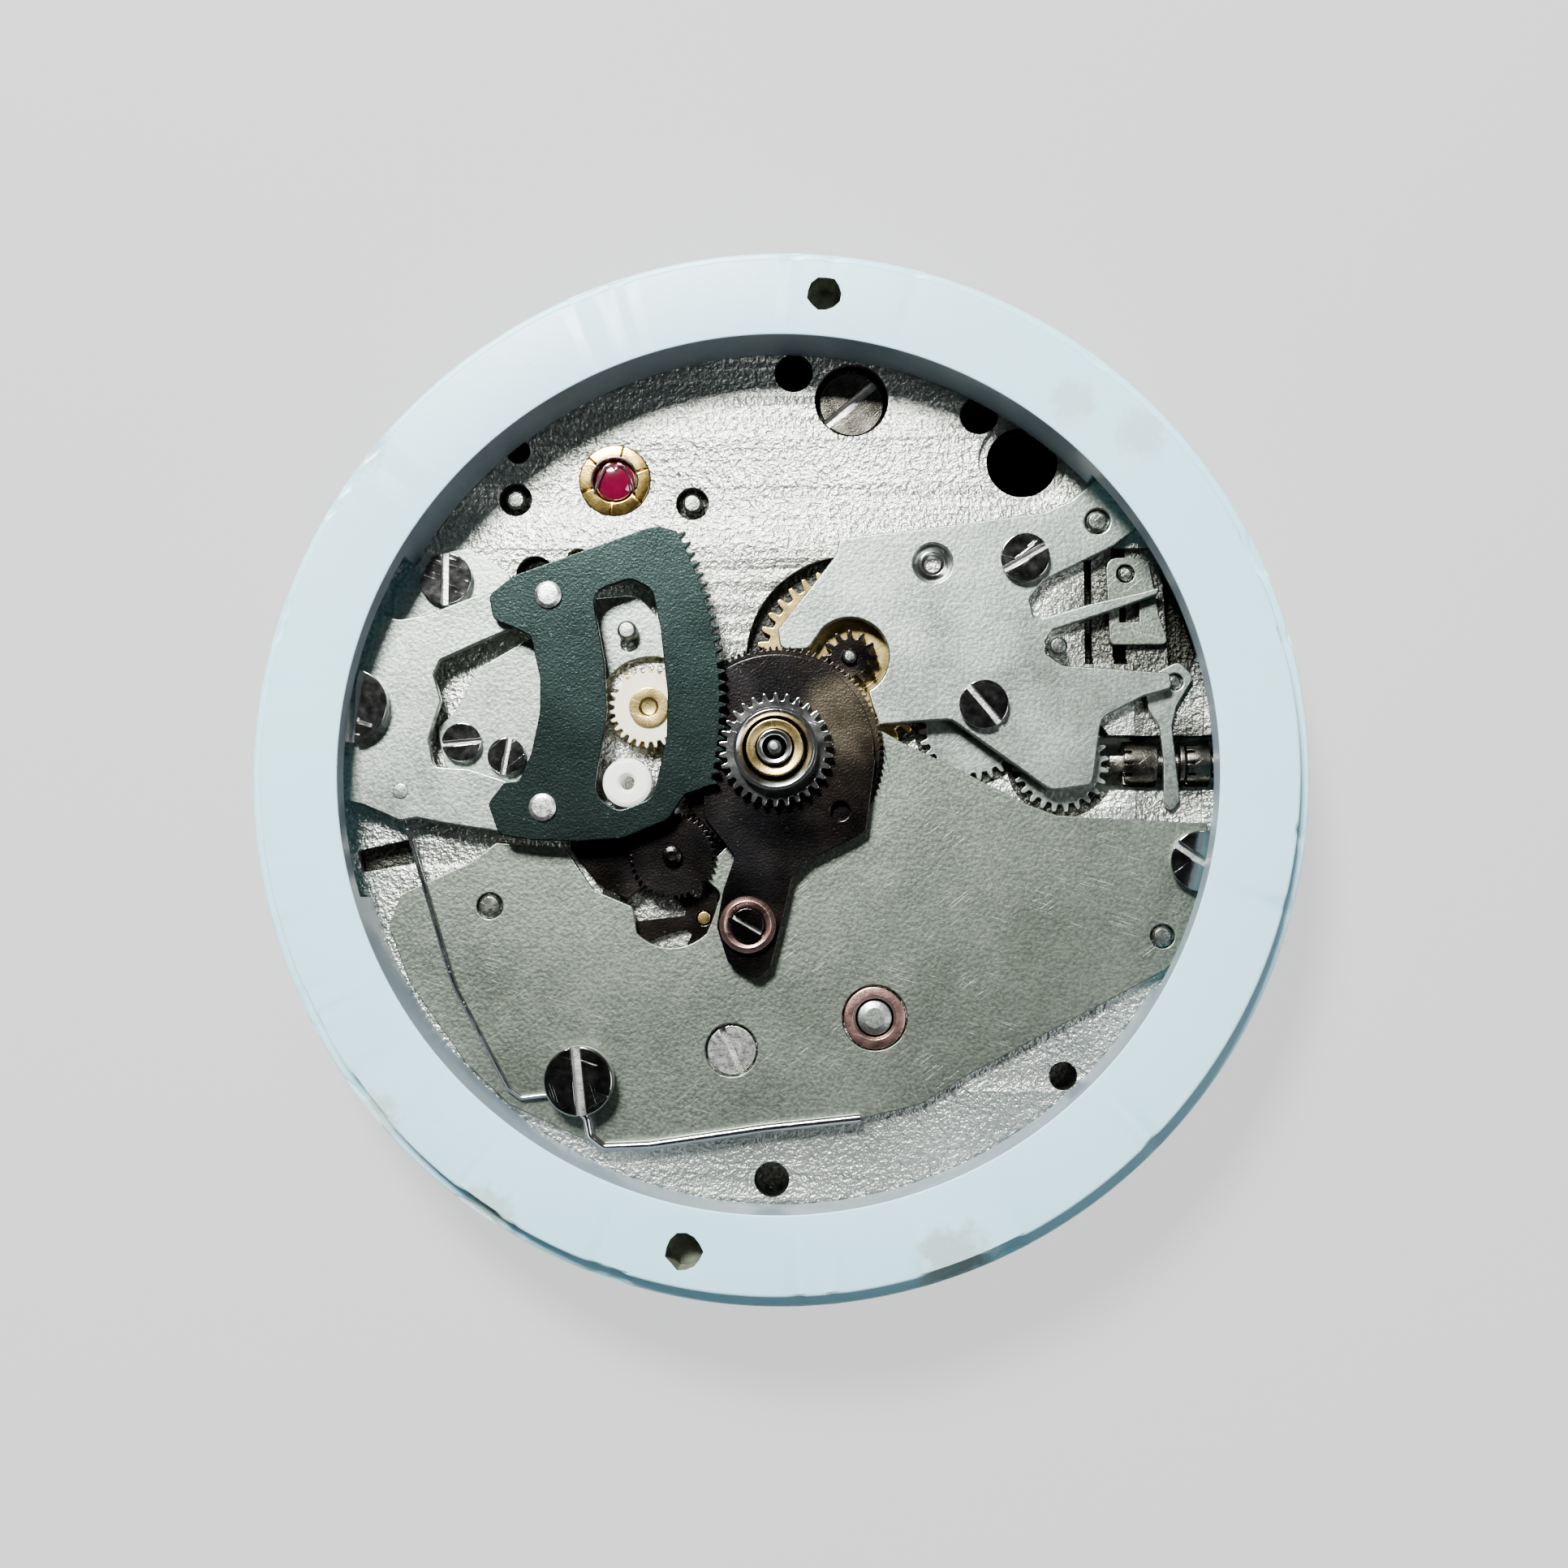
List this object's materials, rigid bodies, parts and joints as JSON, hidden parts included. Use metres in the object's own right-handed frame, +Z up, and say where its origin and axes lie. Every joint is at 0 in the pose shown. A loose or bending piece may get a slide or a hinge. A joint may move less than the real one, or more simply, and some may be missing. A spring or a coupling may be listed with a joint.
{
  "type": "watch movement holder",
  "caption": "Plastic movement ring holding a mechanical watch movement dial side up, with a retrograde display rack, motion work, keyless work and going train",
  "frame": {"origin": "the axis of the holder ring at its flat resting face", "axes": "+Z up along the ring axis, out of the dial side; +X towards the winding stem at 3 o'clock; +Y towards 12 o'clock"},
  "size_m": [0.0316, 0.0316, 0.0057],
  "materials": {
    "ring_plastic": "moulded, satin",
    "silver_plate": "sandblasted rhodium plate",
    "satin_plate": "grained nickel plate",
    "steel": "satin steel",
    "polished_steel": "polished steel",
    "black_steel": "blackened steel",
    "blued_steel": "dark green-grey steel",
    "brass": "gilt brass",
    "copper": "copper alloy",
    "ruby": "polished synthetic ruby",
    "ivory_plastic": "moulded plastic",
    "white_plastic": "moulded plastic"
  },
  "bodies": {
    "movement": {"holder_ring": "ring_plastic", "rack_pivot_screw": "polished_steel", "rack_spring_screw": "polished_steel", "side_bridge_screw": "polished_steel", "rack_bridge_screw_left": "polished_steel", "rack_bridge_screw_right": "polished_steel", "setting_cover_screw_upper": "polished_steel", "setting_cover_screw_lower": "polished_steel", "lower_cover_screw": "polished_steel", "retaining_screw": "black_steel", "recessed_screw": "polished_steel", "bridge_screw_dial_side": "polished_steel", "main_plate": "silver_plate", "lower_cover_plate": "satin_plate", "setting_cover_plate": "steel", "retaining_plate": "black_steel", "retaining_collar": "copper", "barrel_arbor_bush": "copper", "side_bridge": "steel", "rack_bridge": "steel", "collar_post": "white_plastic", "jewel_block": "brass", "cap_jewel": "ruby", "jewel_spring": "brass", "rack_spring": "polished_steel", "small_wheel_bridge": "black_steel", "barrel_bridge_screw": "polished_steel", "balance_cock_screw": "polished_steel", "barrel_bridge": "silver_plate", "train_bridge": "silver_plate", "balance_cock": "silver_plate"},
    "rack": {"rack_arm": "steel", "rack_sector": "blued_steel"},
    "display_pinion": {"display_pinion": "polished_steel"},
    "hour_wheel": {"hour_wheel": "brass", "display_drive_wheel": "black_steel"},
    "cannon_pinion": {"cannon_pinion": "polished_steel"},
    "minute_wheel": {"minute_wheel": "brass", "minute_pinion": "black_steel"},
    "small_display_wheel": {"small_display_wheel": "black_steel"},
    "ivory_wheel": {"ivory_wheel": "ivory_plastic", "ivory_wheel_hub": "brass"},
    "intermediate_setting_wheel": {"intermediate_setting_wheel": "steel"},
    "setting_wheel": {"setting_wheel": "steel"},
    "winding_pinion": {"winding_pinion": "polished_steel"},
    "winding_stem": {"winding_stem": "polished_steel"},
    "sliding_pinion": {"sliding_pinion": "polished_steel"},
    "yoke": {"yoke": "steel"},
    "setting_lever": {"setting_lever": "steel"},
    "barrel": {"barrel": "brass"},
    "great_wheel": {"great_wheel": "brass"},
    "cannon_drive_wheel": {"cannon_drive_wheel": "black_steel"},
    "third_wheel": {"third_wheel": "brass"},
    "sweep_seconds_wheel": {"sweep_seconds_wheel": "steel"},
    "escape_wheel": {"escape_wheel": "polished_steel"},
    "pallet_fork": {"pallet_fork": "steel"},
    "balance_wheel": {"balance_wheel": "brass"},
    "ratchet_wheel": {"ratchet_wheel": "steel"},
    "crown_wheel": {"crown_wheel": "steel"},
    "click": {"click": "steel"}
  },
  "joints": [
    {"name": "rack_swing", "type": "hinge", "parent": "movement", "child": "rack", "pos_m": [-0.01293, 0.002, 0.0041], "axis": [0, 0, 1], "range_deg": [-26, 3], "stiffness_Nm_per_rad": 0.00002, "springref_deg": 20.05, "deforming": ["rack_spring"]},
    {"name": "display_pinion_turn", "type": "hinge", "parent": "movement", "child": "display_pinion", "pos_m": [0, 0.0006, 0.0043], "axis": [0, 0, 1], "range_deg": [-21, 182]},
    {"name": "hour_wheel_turn", "type": "hinge", "parent": "movement", "child": "hour_wheel", "pos_m": [0, 0.0006, 0.0036], "axis": [0, 0, 1], "continuous": true},
    {"name": "cannon_pinion_turn", "type": "hinge", "parent": "movement", "child": "cannon_pinion", "pos_m": [0, 0.0006, 0.003], "axis": [0, 0, 1], "continuous": true},
    {"name": "minute_wheel_turn", "type": "hinge", "parent": "movement", "child": "minute_wheel", "pos_m": [0.00222, 0.00352, 0.0029], "axis": [0, 0, 1], "continuous": true},
    {"name": "small_display_wheel_turn", "type": "hinge", "parent": "movement", "child": "small_display_wheel", "pos_m": [-0.00317, -0.00257, 0.0037], "axis": [0, 0, 1], "continuous": true},
    {"name": "ivory_wheel_turn", "type": "hinge", "parent": "movement", "child": "ivory_wheel", "pos_m": [-0.00388, 0.00195, 0.0037], "axis": [0, 0, 1], "continuous": true},
    {"name": "intermediate_setting_wheel_turn", "type": "hinge", "parent": "movement", "child": "intermediate_setting_wheel", "pos_m": [0.00598, 0.00141, 0.00284], "axis": [0, 0, 1], "continuous": true},
    {"name": "setting_wheel_turn", "type": "hinge", "parent": "movement", "child": "setting_wheel", "pos_m": [0.00868, 0.00028, 0.00284], "axis": [0, 0, 1], "continuous": true},
    {"name": "cannon_drive_wheel_turn", "type": "hinge", "parent": "movement", "child": "cannon_drive_wheel", "pos_m": [-0.00225, -0.00445, 0.00305], "axis": [0, 0, 1], "continuous": true},
    {"name": "sweep_seconds_turn", "type": "hinge", "parent": "movement", "child": "sweep_seconds_wheel", "pos_m": [0, 0.0006, 0.0017], "axis": [0, 0, 1], "continuous": true},
    {"name": "third_wheel_turn", "type": "hinge", "parent": "movement", "child": "third_wheel", "pos_m": [-0.00367, -0.00087, 0.0014], "axis": [0, 0, 1], "continuous": true},
    {"name": "great_wheel_turn", "type": "hinge", "parent": "movement", "child": "great_wheel", "pos_m": [-0.00225, -0.00445, 0.0011], "axis": [0, 0, 1], "continuous": true},
    {"name": "barrel_turn", "type": "hinge", "parent": "movement", "child": "barrel", "pos_m": [0.00295, -0.00745, 0.0016], "axis": [0, 0, 1], "continuous": true},
    {"name": "escape_wheel_turn", "type": "hinge", "parent": "movement", "child": "escape_wheel", "pos_m": [-0.00204, 0.00404, 0.0011], "axis": [0, 0, 1], "continuous": true},
    {"name": "pallet_fork_rock", "type": "hinge", "parent": "movement", "child": "pallet_fork", "pos_m": [-0.00342, 0.00636, 0.00128], "axis": [0, 0, 1], "range_deg": [-6, 6]},
    {"name": "balance_swing", "type": "hinge", "parent": "movement", "child": "balance_wheel", "pos_m": [-0.00507, 0.00915, 0.0018], "axis": [0, 0, 1], "range_deg": [-150, 150], "stiffness_Nm_per_rad": 0.0000008},
    {"name": "ratchet_wheel_turn", "type": "hinge", "parent": "movement", "child": "ratchet_wheel", "pos_m": [0.00295, -0.00745, 0.0004], "axis": [0, 0, 1], "continuous": true},
    {"name": "crown_wheel_turn", "type": "hinge", "parent": "movement", "child": "crown_wheel", "pos_m": [0.0099, -0.0019, 0.0004], "axis": [0, 0, 1], "continuous": true},
    {"name": "click_lift", "type": "hinge", "parent": "movement", "child": "click", "pos_m": [0.0096, -0.0089, 0.0004], "axis": [0, 0, 1], "range_deg": [-12, 0]},
    {"name": "winding_pinion_turn", "type": "hinge", "parent": "movement", "child": "winding_pinion", "pos_m": [0.01286, 0.00028, 0.0025], "axis": [1, 0, 0], "continuous": true},
    {"name": "stem_pull", "type": "slide", "parent": "winding_pinion", "child": "winding_stem", "axis": [1, 0, 0], "range_m": [0, 0.0009]},
    {"name": "sliding_pinion_shift", "type": "slide", "parent": "winding_pinion", "child": "sliding_pinion", "axis": [1, 0, 0], "range_m": [-0.00042, 0]},
    {"name": "yoke_swing", "type": "hinge", "parent": "movement", "child": "yoke", "pos_m": [0.01215, 0.00275, 0.00308], "axis": [0, 0, 1], "range_deg": [-9.5, 0]},
    {"name": "setting_lever_swing", "type": "hinge", "parent": "movement", "child": "setting_lever", "pos_m": [0.0107, 0.0061, 0.00308], "axis": [0, 0, 1], "range_deg": [-8, 0]}
  ],
  "couplings": [
    {"joint": "display_pinion_turn", "follows": "rack_swing", "ratio": -7},
    {"joint": "cannon_pinion_turn", "follows": "hour_wheel_turn", "ratio": 12},
    {"joint": "minute_wheel_turn", "follows": "hour_wheel_turn", "ratio": -4},
    {"joint": "small_display_wheel_turn", "follows": "hour_wheel_turn", "ratio": -2.5},
    {"joint": "ivory_wheel_turn", "follows": "hour_wheel_turn", "ratio": -2.5263},
    {"joint": "intermediate_setting_wheel_turn", "follows": "hour_wheel_turn", "ratio": 5.3333},
    {"joint": "setting_wheel_turn", "follows": "hour_wheel_turn", "ratio": -6},
    {"joint": "cannon_drive_wheel_turn", "follows": "hour_wheel_turn", "ratio": -10.667},
    {"joint": "third_wheel_turn", "follows": "sweep_seconds_turn", "ratio": -0.13333},
    {"joint": "great_wheel_turn", "follows": "sweep_seconds_turn", "ratio": 0.014815},
    {"joint": "barrel_turn", "follows": "sweep_seconds_turn", "ratio": -0.0021164},
    {"joint": "escape_wheel_turn", "follows": "sweep_seconds_turn", "ratio": -10},
    {"joint": "crown_wheel_turn", "follows": "ratchet_wheel_turn", "ratio": -1.5},
    {"joint": "winding_pinion_turn", "follows": "ratchet_wheel_turn", "ratio": 3},
    {"joint": "sliding_pinion_shift", "follows": "stem_pull", "ratio": -0.4},
    {"joint": "yoke_swing", "follows": "stem_pull", "rad_per_m": -160},
    {"joint": "setting_lever_swing", "follows": "stem_pull", "rad_per_m": -140}
  ]
}
